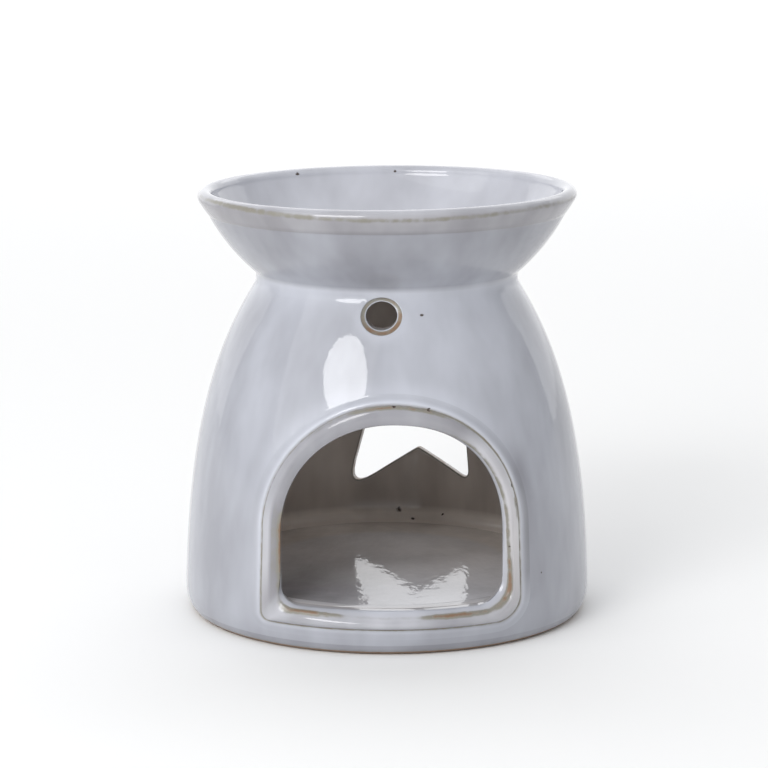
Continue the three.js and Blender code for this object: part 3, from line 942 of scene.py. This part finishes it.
class WARMER_OT_base_plate(Operator):
    """Adds the base plate: floor, foot ring and the hollow between them"""

    bl_idname = "warmer.base_plate"
    bl_label = "Base plate"

    def execute(self, context):
        settings = context.scene.warmer
        bell = settings.bell
        outside = bell_outside(bell)
        edge = even(outside[outside[:, 1] <= bell.foot_edge], EDGE_ROWS)
        edge[-1] = radius_at(outside, bell.foot_edge), bell.foot_edge
        ring_inside = bell.foot_radius - bell.foot_ring
        bore = bell.belly_radius - bell.wall
        toe = bore - bell.cove
        seat = bell.floor_height - bell.cove_seat
        under = [(0, bell.foot_recess), (ring_inside - bell.recess_taper, bell.foot_recess),
                 (ring_inside, 0)]
        plug = [(bore - bell.fit_gap, bell.foot_edge), (bore - bell.fit_gap, seat), (toe, seat)]
        floor_radius = np.linspace(toe, 0, 2 * EDGE_ROWS)
        crown = bell.floor_crown * (1 - (floor_radius / toe) ** 2)
        floor = np.stack([floor_radius, bell.floor_height + crown], 1)
        # Bare clay at the foot, with brown fading above it as painted contact shade
        foot_thin = np.interp(
            edge[:, 1], [0, bell.bare_height, 2 * bell.bare_height], FOOT_THIN_AND_PAINTED_SHADE)
        patches = [
            turned(under + [edge[0]], milk=FOOT_MILK),
            turned(edge, thin=upright(*foot_thin), milk=FOOT_MILK),
            turned([edge[-1]] + plug + [floor[0]], inside=upright(0, 0, 0, 1, 1),
                   milk=upright(FOOT_MILK, MARKS["milk"], *[FLOOR_MILK] * 3)),
            turned(floor)]
        for patch in patches[-2:]:
            x, y, _ = patch.points.T / mm(1)
            on_floor = patch.points[:, 2] > (seat + bell.floor_height) / 2
            # Share of the cove's painted reflection on the floor
            pooled = from_table(COVE_REFLECTION_IN, toe / mm(1) - np.hypot(x, y)) * from_table(COVE_REFLECTION_BACK, y)
            wash = from_table(FLOOR_WASH, y) + COVE_REFLECTION_WASH * pooled
            # Less milk in the painted shade behind the doorway's left side
            milk = FLOOR_MILK - COVE_REFLECTION_CLEAR * pooled - PAINTED_SHADE_CLEAR * spot(x, y, PAINTED_SHADE_SPOT)
            patch.marks["inside"] = np.where(on_floor, wash, patch.marks["inside"])
            patch.marks["milk"] = np.where(on_floor, milk, patch.marks["milk"])
            patch.marks["brushed"] = np.where(on_floor, 1, patch.marks["brushed"])
        materials = [glazed_stoneware(settings.glaze), bare_stoneware(settings.glaze)]
        add_piece(
            context, "glazed_base_plate", "base_plate", patches, materials,
            lambda middle: middle.z < bell.bare_height
            or (middle.z < seat and middle.xy.length < toe))
        return {"FINISHED"}


class WARMER_OT_bell_body(Operator):
    """Adds the bell with its cove, doorway, vent and star"""

    bl_idname = "warmer.bell_body"
    bl_label = "Bell body"

    def execute(self, context):
        settings = context.scene.warmer
        bell, door, cuts = settings.bell, settings.door, settings.cuts
        outside, inside = bell_outside(bell), bell_inside(bell)
        wall = outside[outside[:, 1] > bell.foot_edge]
        foot_edge = (radius_at(outside, bell.foot_edge), bell.foot_edge)
        wall = np.concatenate([[foot_edge], wall])
        cut_rings = [self.doorway(bell, door, outside, inside),
                     self.vent(bell, cuts, outside, inside), self.star(cuts, outside, inside)]
        patches = list(cut_rings)
        points, faces = holed_wall(wall, WALL_ROWS, [rings.outer for rings in cut_rings])
        patches.append(Patch(points, faces))
        points, faces = holed_wall(inside, INNER_ROWS, [rings.inner for rings in cut_rings])
        patches.append(Patch(points, faces, inside=1))
        bore = bell.belly_radius - bell.wall
        toe = inside[0]
        seat = bell.floor_height - bell.cove_seat
        patches.append(turned(
            [foot_edge, (bore, bell.foot_edge), (bore, seat), (toe[0], seat), toe],
            inside=upright(0, 0, 1, 1, 1)))
        patches.append(turned([wall[-1], inside[-1]], inside=upright(0, 1)))
        for patch in patches:
            outer = self.milk(patch.points, bell, cut_rings[0].outer, cut_rings[1].outer)
            outer = np.maximum(outer, patch.marks["milk"] - MARKS["milk"])
            height = patch.points[:, 2] / mm(1)
            sill = beside(patch.points, cut_rings[0].inner, SILL_REACH)
            sill *= from_table(SILL_SHARE, height)
            # The chamber's milk by height, with painted light on the cove
            inner = from_table(CHAMBER_MILK_AND_PAINTED_LIGHT, height) * (1 - sill) + SILL_MILK * sill
            share = patch.marks["inside"]
            patch.marks["milk"] = outer * (1 - share) + inner * share
            patch.marks["inside"] = share * (1 - SILL_COVER * sill)
        add_piece(
            context, "glazed_bell", "bell_body", patches,
            [glazed_stoneware(settings.glaze)])
        return {"FINISHED"}

    def milk(self, points, bell, door_edge, vent_edge):
        """How milky the glaze pooled under the neck, round the doorway and round the vent, with
        painted light and shade there and in patches on the bell.
        """
        under_neck = np.maximum(bell.neck_height - points[:, 2], 0)
        # Milkier under the neck, which also paints the light on its upward face
        milk = MARKS["milk"] + np.maximum(
            NECK_MILK_AND_PAINTED_LIGHT * np.exp(-(under_neck / NECK_REACH) ** 2),
            VENT_MILK * beside(points, vent_edge, VENT_REACH))
        # Beside the surround: pooled glaze, painted light over the arch, painted shade on its
        # right
        milk += halo_and_painted_light(points) * beside(points, door_edge, HALO_REACH)
        angle = np.degrees(np.arctan2(points[:, 0], -points[:, 1]))
        # Pooled glaze, with painted light and shade, in patches on the bell
        for *place, strength in BELL_POOLS_AND_PAINTED_LIGHT:
            milk += strength * spot(angle, points[:, 2] / mm(1), place)
        return np.clip(milk, CLEAREST, MILKIEST)

    def doorway(self, bell, door, outside, inside):
        """The rebate under the surround and the cut through the wall."""
        cut = door_cut(door)
        toe = door_outline(door, door.ridge_offset + door.ramp)
        clear = door_outline(door, door.lining + bell.fit_gap)
        above_floor = clear.copy()
        above_floor[:, 1] = np.maximum(clear[:, 1], bell.floor_height + FLOOR_CLEARANCE)
        rings = [cut.meet(outside, toe), cut.meet(outside, toe, -REBATE),
                 cut.meet(outside, clear, -REBATE), cut.meet(inside, above_floor)]
        return self.cut_patch(rings, inside=upright(0, 0, 1, 1))

    def vent(self, bell, cuts, outside, inside):
        """The vent: a bore whose mouth steps in over two rounded edges."""
        height = bell.neck_height - cuts.vent_drop
        cut = Cut(cuts.vent_turn, 1, cuts.vent_tilt, (radius_at(outside, height), height))
        turn = np.linspace(0, 2 * math.pi, VENT_POINTS, endpoint=False)
        circle = np.stack([np.cos(turn), cuts.vent_flat * np.sin(turn)], 1)
        edge_thin = VENT_THIN + VENT_THINNER * breaks(np.degrees(turn), VENT_BREAKS, 360)
        rings, thin, milk, inner = [], [], [], []
        for widen, sink, row_thin, row_milk in VENT_SECTION:
            ring = circle * (cuts.vent_bore + widen * (cuts.vent_mouth - cuts.vent_bore))
            rings.append(cut.meet(outside, ring) - sink * cuts.vent_depth * cut.out)
            thin.append(row_thin * edge_thin)
            # Milk by row, with painted highlights at the mouth's outer edge and the bore's edge
            milk.append(row_milk)
            inner.append(0)
        mouth, mouth_thin = rings[-1], thin[-1]
        end = cut.meet(inside, circle * cuts.vent_bore)
        for share in np.linspace(0, 1, REVEAL_ROWS)[1:]:
            rings.append(mouth * (1 - share) + end * share)
            thin.append(mouth_thin * (1 - share))
            milk.append(MARKS["milk"])
            inner.append(share)
        return self.cut_patch(
            rings, thin=np.array(thin), milk=upright(*milk), inside=upright(*inner))

    def star(self, cuts, outside, inside):
        """The star: a straight cut with its edges rounded by the glaze."""
        cut = Cut(cuts.star_turn, -1)
        spokes = np.arange(len(STAR_STRAYS))
        reach = np.where(spokes % 2, cuts.star_notch, cuts.star_reach)
        angle = math.pi / 2 + spokes * math.pi / len(STAR_ROUNDS) + cuts.star_tilt
        corners = np.stack(
            [reach * np.cos(angle), cuts.star_height + reach * np.sin(angle)], 1)
        corners += mm(1) * np.array(STAR_STRAYS)
        trims = np.where(spokes % 2, cuts.notch_round, mm(1) * np.repeat(STAR_ROUNDS, 2))
        outline = rounded(corners, trims, STAR_OUTLINE_POINTS)
        normal = outward(outline)
        bends = np.radians(np.linspace(0, 90, EDGE_ROWS))
        rings = [[], []]
        low = np.clip((cuts.star_height - outline[:, 1:]) / STAR_SLANT_DROP, 0, 1)
        slant = low * (0, STAR_SLANT)
        for rows, profile, way, shift in (
                (rings[0], outside, -1, 0), (rings[1], inside, 1, slant)):
            for bend in bends:
                widen = cuts.edge_round * (1 - math.sin(bend))
                sink = cuts.edge_round * (1 - math.cos(bend))
                ring = cut.meet(profile, outline + shift + widen * normal)
                rows.append(ring + way * sink * cut.out)
        shares = np.linspace(0, 1, REVEAL_ROWS)[1:-1]
        reveal = [rings[0][-1] * (1 - share) + rings[1][-1] * share for share in shares]
        rows = rings[0] + reveal + rings[1][::-1]
        # Brown of the thin glaze on the cut, also painting the shade on the reveal
        edge = STAR_THIN_AND_PAINTED_SHADE * np.sin(bends)
        thin = np.concatenate([edge, np.full(len(shares), STAR_THIN_AND_PAINTED_SHADE), edge[::-1]])
        depth = np.linspace(0, 1, len(rows))
        return self.cut_patch(rows, thin=thin[:, None], inside=depth[:, None])

    def cut_patch(self, rings, **marks):
        """A patch of rings through the wall that keeps its two edge loops."""
        patch = ring_patch(rings, **marks)
        patch.outer, patch.inner = rings[0], rings[-1]
        return patch


class WARMER_OT_door_surround(Operator):
    """Adds the raised moulding that lines the doorway and lies on the wall"""

    bl_idname = "warmer.door_surround"
    bl_label = "Door surround"

    def execute(self, context):
        settings = context.scene.warmer
        bell, door = settings.bell, settings.door
        outside = bell_outside(bell)
        cut = door_cut(door)
        along = lengths(np.concatenate([door_outline(door, 0), door_outline(door, 0)[:1]]))
        places = along[:-1] / along[-1]
        flare = from_table(EDGE_FLARES, places)[:, None]
        low = from_table(BANK_SHARES, places)
        plain, marks = self.section(bell, door, 0, door.bank)
        flared, _ = self.section(bell, door, mm(1), door.bank)
        lowered, _ = self.section(bell, door, 0, door.low_bank)
        rings = []
        for (offset, lift), (flared_offset, _), (_, low_lift) in zip(plain, flared, lowered):
            outline = door_outline(door, offset) * (1 - flare)
            outline = outline + door_outline(door, flared_offset) * flare
            rings.append(cut.meet(outside, outline, lift + (low_lift - lift) * low))
        # Thin glaze along the ridge and edge, and painted shade along the groove
        thin = sum(marks[line] * (usual + more * breaks(places, where, 1))
                   for line, (usual, more, where) in THIN_LINES.items())
        slope = marks["slope"] * breaks(places, SLOPE_BREAKS, 1)
        thin = np.maximum(thin, SLOPE_THIN * slope)
        tone_places, face_milk_and_painted_light, face_warmth = np.array(FACE_TONES_AND_PAINTED_LIGHT).T
        bank_milk = HIGH_BANK_MILK + (LOW_BANK_MILK - HIGH_BANK_MILK) * low
        # The same halo on the bank, with its painted light and shade
        milk = marks["milk"] + marks["halo_and_painted_light"] * halo_and_painted_light(rings[0]) + marks["bank"] * bank_milk
        # Milkiness of the face, which also paints its light and shade
        milk += marks["face"] * (np.interp(places, tone_places, face_milk_and_painted_light) - MARKS["milk"])
        milk -= SLOPE_CLEAR * slope
        inside = marks["inside"] + marks["face"] * np.interp(places, tone_places, face_warmth)
        patch = ring_patch(rings, thin=thin, milk=np.clip(milk, CLEAREST, MILKIEST), inside=inside)
        add_piece(
            context, "glazed_door_surround", "door_surround", [patch],
            [glazed_stoneware(settings.glaze)])
        return {"FINISHED"}

    def section(self, bell, door, flare, bank_lift):
        """The moulding's section from its toe over the roll and back, as offsets from the
        opening and heights over the wall, and the strength of each of its marks there."""
        width, proud, wall = door.ridge_offset, door.proud, bell.wall
        toe = width + door.ramp
        bank = (width + BANK_OUT, bank_lift)
        crease = (width - CREASE_IN, CREASE_SHARE * bank_lift)
        crest = (width - CREST_IN, proud)
        edge = (flare + EDGE_OUT, proud * EDGE_SHARE)
        reveal = (door.set_back, -REVEAL_DEPTH)
        back = (door.set_back + BACK_OUT, BACK_ROUND - wall)
        seat = [(door.lining, -wall), (door.lining, -SEAT_DEPTH), (toe, -TOE_DEPTH), (toe, 0)]
        usual, pale = MARKS["milk"], MARKS["milk"] + REVEAL_MILK

        # Curves between those points, pulled by the others in millimetres, and their marks
        pieces = [
            (bezier([(toe, 0), (toe - mm(1), 0), (width + mm(1.1), bank_lift), bank], 14),
             {"bank": (0, 0.02, 0.15, 0.5, 1), "halo_and_painted_light": (1, 1, 0.9, 0.7, 0.5)}),
            (bezier([bank, (width + mm(0.2), bank_lift), (width, crease[1]), crease], 8),
             {"bank": (1, 0), "halo_and_painted_light": (0.5, 0), "groove_shade": (0, 0.3, 1), "face": (0, 1)}),
            (bezier([crease, (width - mm(0.35), crease[1] + mm(0.55)),
                     (width - mm(0.8), proud), crest], 14),
             {"groove_shade": (1, 0.3, 0, 0, 0), "ridge": (0, 0.6, 1, 0.4, 0), "face": (1, 1)}),
            (bezier([crest, (width - mm(2.4), proud),
                     (flare + mm(1.5), proud * 0.8), edge], 16),
             {"edge": (0, 0, 0, 0.4, 1), "slope": (0, 1, 1, 1), "face": (1, 1)}),
            (bezier([edge, (flare + mm(0.2), mm(0.1)),
                     (door.set_back + flare * 0.4, -mm(0.3)), reveal], 12),
             {"edge": (1, 1, 0.3, 0, 0), "slope": (1, 0.3, 0), "face": (1, 0),
              "milk": (usual, pale)}),
            (np.linspace(reveal, back, REVEAL_ROWS),
             {"milk": (pale, pale), "inside": (0, 0.2, 0.4)}),
            (bezier([back, (back[0], -wall), (BACK_END, -wall)], REVEAL_ROWS),
             {"milk": (pale, pale), "inside": (0.4, 0.4)}),
            (np.array(seat), {"inside": (0.4, 0), "halo_and_painted_light": (0, 1)})]
        rows = np.concatenate([points for points, _ in pieces])
        marks = {}
        for name in ("groove_shade", "ridge", "edge", "slope", "bank", "halo_and_painted_light", "face", "milk", "inside"):
            steps = [given.get(name, (MARKS.get(name, 0),) * 2) for _, given in pieces]
            marks[name] = np.concatenate([
                np.interp(np.linspace(0, 1, len(points)), np.linspace(0, 1, len(step)), step)
                for step, (points, _) in zip(steps, pieces)])[:, None]
        return rows, marks


class WARMER_OT_melting_dish(Operator):
    """Adds the flared dish with its rolled lip"""

    bl_idname = "warmer.melting_dish"
    bl_label = "Melting dish"

    def execute(self, context):
        settings = context.scene.warmer
        bell, dish = settings.bell, settings.dish
        seat = bell.neck_height
        spigot = bell.neck_radius - bell.wall - bell.fit_gap
        neck = np.array((bell.neck_radius, seat))
        fillet = bezier([neck, neck + (0, dish.fillet / 2),
                         neck + (dish.fillet / 2, dish.fillet)], BAND_POINTS)
        band_foot = dish.rim_height - dish.band
        band_radius = dish.rim_radius - dish.band_draft
        flare_top = np.array((band_radius - dish.band_step, band_foot))
        along = flare_top - fillet[-1]
        swell = np.array((along[1], -along[0])) / np.linalg.norm(along) * 2 * dish.swell
        flare = bezier([fillet[-1], fillet[-1] + along / 2 + swell, flare_top], FLARE_POINTS)
        band_start = np.array((band_radius, band_foot + dish.band_step))
        lip_centre = np.array((dish.rim_radius, dish.rim_height)) - dish.lip_radius
        lip = arc(lip_centre, (dish.lip_radius, dish.lip_radius), 0, 180, LIP_POINTS)
        step = np.linspace(flare_top, band_start, STEP_POINTS)
        band = bezier(
            [band_start, (dish.rim_radius, lip_centre[1] - BAND_TURN), lip[0]], BAND_POINTS)
        bowl_floor = seat + dish.floor
        bowl_top = lip[-1]
        bowl_width = bowl_top[0] - dish.bowl_radius
        bowl_depth = bowl_top[1] - bowl_floor
        bowl = bezier(
            [bowl_top,
             (bowl_top[0] - dish.bowl_side_lean * bowl_width,
              bowl_top[1] - dish.bowl_side_pull * bowl_depth),
             (dish.bowl_radius + dish.bowl_floor_pull * bowl_width, bowl_floor),
             (dish.bowl_radius, bowl_floor)], FLARE_POINTS)
        bowl_flat = np.linspace((dish.bowl_radius, bowl_floor), (0, bowl_floor), BAND_POINTS)
        under = [(0, seat - dish.register), (spigot, seat - dish.register), (spigot, seat), neck]
        stretches = [fillet, flare[1:], step[1:], band[1:], lip[1:], bowl[1:], bowl_flat[1:]]
        shown = np.concatenate(stretches)
        milk, warm = [], []
        # Milk along the dish, with painted light on fillet, lip and bowl, painted shade on flare
        # and step
        for points, (milk_table, warm_table) in zip(stretches, DISH_TONES_AND_PAINTED_LIGHT):
            places = np.linspace(0, 1, len(points))
            milk.extend(from_table(milk_table, places))
            warm.extend(from_table(warm_table, places))
        roll = np.degrees(np.arctan2(shown[:, 1] - lip_centre[1], shown[:, 0] - lip_centre[0]))
        angles = np.degrees(column_angles())
        line = from_table(RIM_LINE, angles, period=360)
        on_lip = np.linalg.norm(shown - lip_centre, axis=1) < RIM_LINE_END * dish.lip_radius
        thin = RIM_THIN + RIM_THINNER * breaks(angles, RIM_BREAKS, 360)
        thin = thin * on_lip[:, None] * np.exp(-((roll[:, None] - line) / RIM_LINE_HALF) ** 2)
        patches = [
            turned(under, milk=milk[0]),
            turned(shown, thin=thin, milk=upright(*milk), inside=upright(*warm))]
        add_piece(
            context, "glazed_melting_dish", "melting_dish", patches,
            [glazed_stoneware(settings.glaze)])
        return {"FINISHED"}


class WARMER_OT_studio(Operator):
    """Adds the paper floor, the lights and the camera"""

    bl_idname = "warmer.studio"
    bl_label = "Studio"

    def execute(self, context):
        settings = context.scene.warmer
        scene = context.scene
        self.floor(context, settings.glaze)
        stage = settings.stage
        for name, aim, azimuth, elevation, distance, size, light, shape in SOFTBOXES:
            self.softbox(context, name, shape, size, getattr(stage, light),
                         Vector(aim), azimuth, elevation, distance)
        world = bpy.data.worlds.new("White room")
        world.use_nodes = True
        background = world.node_tree.nodes["Background"]
        feed(world.node_tree, background, {"Color": stage.tint, "Strength": stage.sky})
        scene.world = world
        scene.view_settings.view_transform = "Standard"
        lens = bpy.data.cameras.new("camera")
        lens.lens = FOCAL_LENGTH
        lens.sensor_width = SENSOR
        lens.clip_start = NEAR
        lens.clip_end = FAR
        camera = bpy.data.objects.new("camera", lens)
        camera.location = CAMERA_PLACE
        look = Vector(CAMERA_AIM) - camera.location
        camera.rotation_euler = look.to_track_quat("-Z", "Y").to_euler()
        scene.collection.objects.link(camera)
        scene.camera = camera
        return {"FINISHED"}

    def floor(self, context, look):
        """A sheet of paper on the table."""
        mesh = bpy.data.meshes.new("paper_floor")
        work = bmesh.new()
        bmesh.ops.create_grid(
            work, x_segments=PAPER_SQUARES, y_segments=PAPER_SQUARES, size=PAPER_HALF)
        work.to_mesh(mesh)
        work.free()
        mesh.materials.append(studio_paper(look))
        sheet = bpy.data.objects.new("paper_floor", mesh)
        context.scene.collection.objects.link(sheet)

    def softbox(self, context, name, shape, size, radiance, aim, azimuth, elevation, distance):
        """A soft panel of light aimed at a point, by its direction and distance from there."""
        light = bpy.data.lights.new(name, "AREA")
        light.shape = shape
        light.size, light.size_y = size
        area = size[0] * size[1] * (math.pi / 4 if shape == "ELLIPSE" else 1)
        light.energy = radiance * math.pi * area
        lamp = bpy.data.objects.new(name, light)
        turn, lift = math.radians(azimuth), math.radians(elevation)
        way = Vector((math.sin(turn) * math.cos(lift), -math.cos(turn) * math.cos(lift),
                      math.sin(lift)))
        lamp.location = aim + way * distance
        lamp.rotation_euler = way.to_track_quat("Z", "Y").to_euler()
        lamp.visible_camera = False
        context.scene.collection.objects.link(lamp)


class WARMER_PT_panel(Panel):
    """Lists the pieces and what can be changed about them"""

    bl_idname = "WARMER_PT_panel"
    bl_label = "Wax warmer"
    bl_space_type = "VIEW_3D"
    bl_region_type = "UI"
    bl_category = "Wax warmer"

    def draw(self, context):
        settings = context.scene.warmer
        for operator in OPERATORS:
            self.layout.operator(operator.bl_idname)
        for name in WarmerSettings.__annotations__:
            group = getattr(settings, name)
            box = self.layout.box()
            box.label(text=name.capitalize())
            for key in type(group).__annotations__:
                box.prop(group, key)


OPERATORS = (
    WARMER_OT_base_plate, WARMER_OT_bell_body, WARMER_OT_door_surround, WARMER_OT_melting_dish,
    WARMER_OT_studio)
CLASSES = (
    BellShape, DishShape, DoorShape, CutOutShape, GlazeLook, StageLook, WarmerSettings,
    *OPERATORS, WARMER_PT_panel)


def register():
    for each in CLASSES:
        bpy.utils.register_class(each)
    bpy.types.Scene.warmer = PointerProperty(type=WarmerSettings)


def unregister():
    del bpy.types.Scene.warmer
    for each in reversed(CLASSES):
        bpy.utils.unregister_class(each)


def main():
    register()
    bpy.ops.warmer.base_plate()
    bpy.ops.warmer.bell_body()
    bpy.ops.warmer.door_surround()
    bpy.ops.warmer.melting_dish()
    bpy.ops.warmer.studio()


if __name__ == "__main__":
    main()
